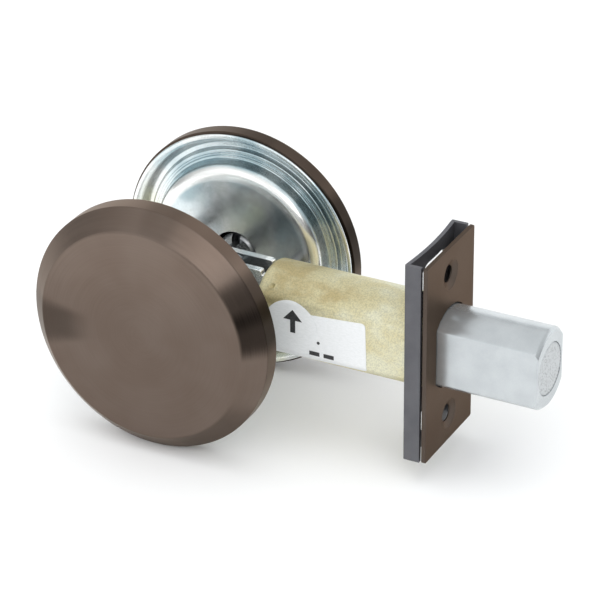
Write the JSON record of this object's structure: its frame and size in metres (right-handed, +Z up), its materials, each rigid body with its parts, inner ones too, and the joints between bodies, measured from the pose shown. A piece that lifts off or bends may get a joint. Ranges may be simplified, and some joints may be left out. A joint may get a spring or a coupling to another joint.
{
  "type": "one-sided deadbolt door lock",
  "caption": "Deadbolt for a bored door: a blank bevelled plate outside, a thumbturn inside, and a tubular latch with a rectangular faceplate",
  "frame": {"origin": "where the thumbturn axis crosses the bolt axis, midway between the two door faces", "axes": "+X is the way the bolt throws, +Y runs through the door towards the room, +Z is up"},
  "size_m": [0.1372, 0.083, 0.0698],
  "materials": {
    "dark_bronze": "brushed dark bronze, satin",
    "zinc_plate": "bright zinc with a faint blue and yellow tint",
    "hardware_steel": "plain steel",
    "yellow_zinc": "pale yellow zinc, fine grain",
    "satin_chrome": "satin silver",
    "channel_steel": "dull grey",
    "label_paper": "matt white"
  },
  "bodies": {
    "lock_case": {"outside_plate": "dark_bronze", "outside_anchor_plate": "zinc_plate", "anchor_posts": "hardware_steel", "mounting_screws": "hardware_steel", "inside_rose": "dark_bronze", "inside_mounting_plate": "zinc_plate", "latch_sleeve": "yellow_zinc", "outer_cheek_plate": "zinc_plate", "inner_cheek_plate": "zinc_plate", "cheek_rivets": "hardware_steel", "detent_spring": "hardware_steel", "bolt_guide": "zinc_plate", "backer_channel": "channel_steel", "faceplate": "dark_bronze", "long_label": "label_paper", "round_label": "label_paper"},
    "turn_piece": {"thumbturn": "dark_bronze", "drive_hub": "zinc_plate", "tailpiece": "hardware_steel", "retaining_ring": "hardware_steel", "wave_washer": "hardware_steel", "crank": "zinc_plate", "crank_pin": "hardware_steel"},
    "bolt_piece": {"bolt": "satin_chrome", "hardened_insert": "hardware_steel", "tail_link": "zinc_plate", "link_pin": "hardware_steel"}
  },
  "joints": [
    {"name": "bolt_throw", "type": "slide", "parent": "lock_case", "child": "bolt_piece", "axis": [1, 0, 0], "range_m": [-0.0254, 0]},
    {"name": "thumbturn_turn", "type": "hinge", "parent": "lock_case", "child": "turn_piece", "pos_m": [0, 0, 0], "axis": [0, 1, 0], "range_deg": [0, 90]}
  ],
  "couplings": [
    {"joint": "thumbturn_turn", "follows": "bolt_throw", "rad_per_m": -61.84}
  ]
}
